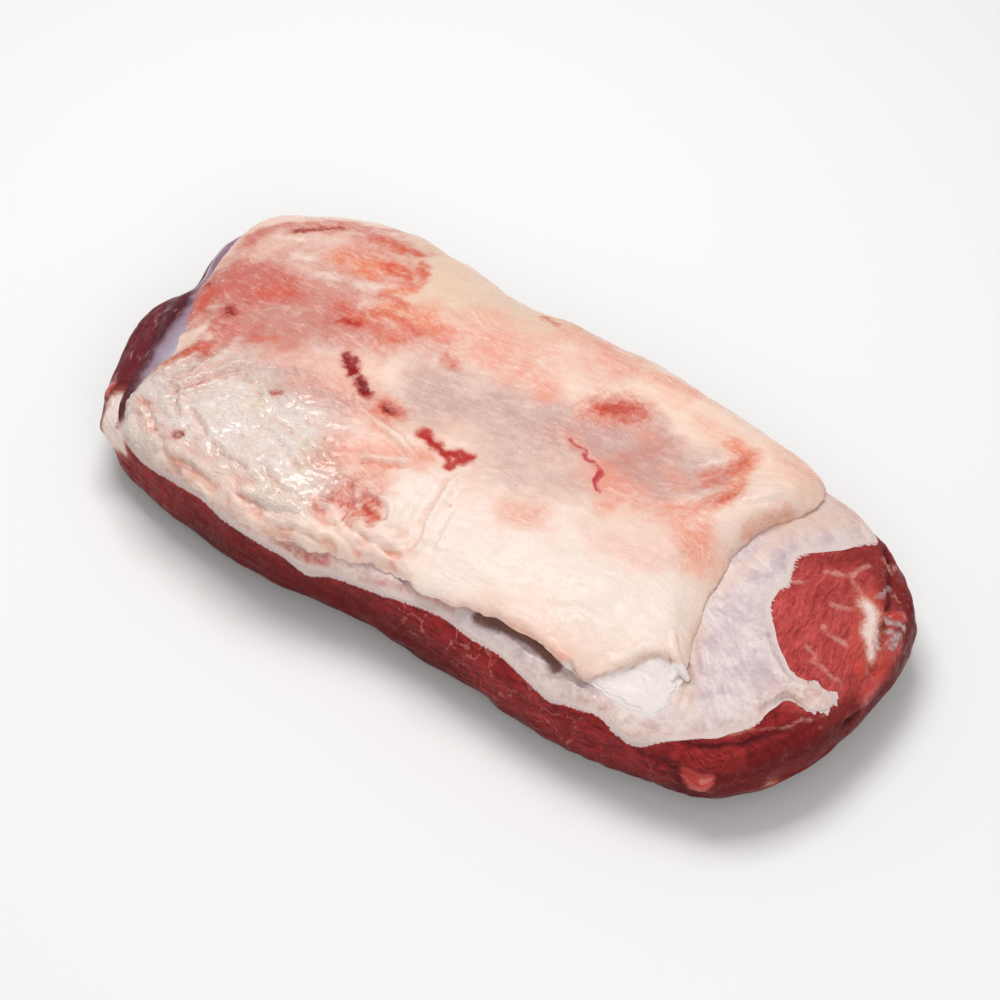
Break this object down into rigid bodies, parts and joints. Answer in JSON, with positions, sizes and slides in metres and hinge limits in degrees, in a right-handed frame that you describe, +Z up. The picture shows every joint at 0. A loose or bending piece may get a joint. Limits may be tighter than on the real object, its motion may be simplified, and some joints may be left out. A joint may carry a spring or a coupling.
{
  "type": "raw beef shoulder",
  "caption": "Whole raw beef shoulder, boneless: a long slab of dark red lean with a bare cut end, a thin silverskin and a thick pale fat cap laid over the top.",
  "frame": {"origin": "under the middle of the piece's bounding box, on the surface that it rests on", "axes": "+X along the length towards the bare cut end, +Y towards the back side, where the fat wraps furthest down, +Z up from the underside to the fat"},
  "size_m": [0.4752, 0.2402, 0.0775],
  "materials": {
    "lean_meat": "moist dark red muscle with fine fibre, brighter on the cut end",
    "silverskin": "wet, thin and bluish white, with a fringed edge",
    "fat_cap": "creamy fat, wet and fibrous at the left end, stained pink and red in places"
  },
  "bodies": {
    "root": {"lean_meat": "lean_meat", "silverskin": "silverskin", "fat_cap": "fat_cap"}
  },
  "joints": []
}
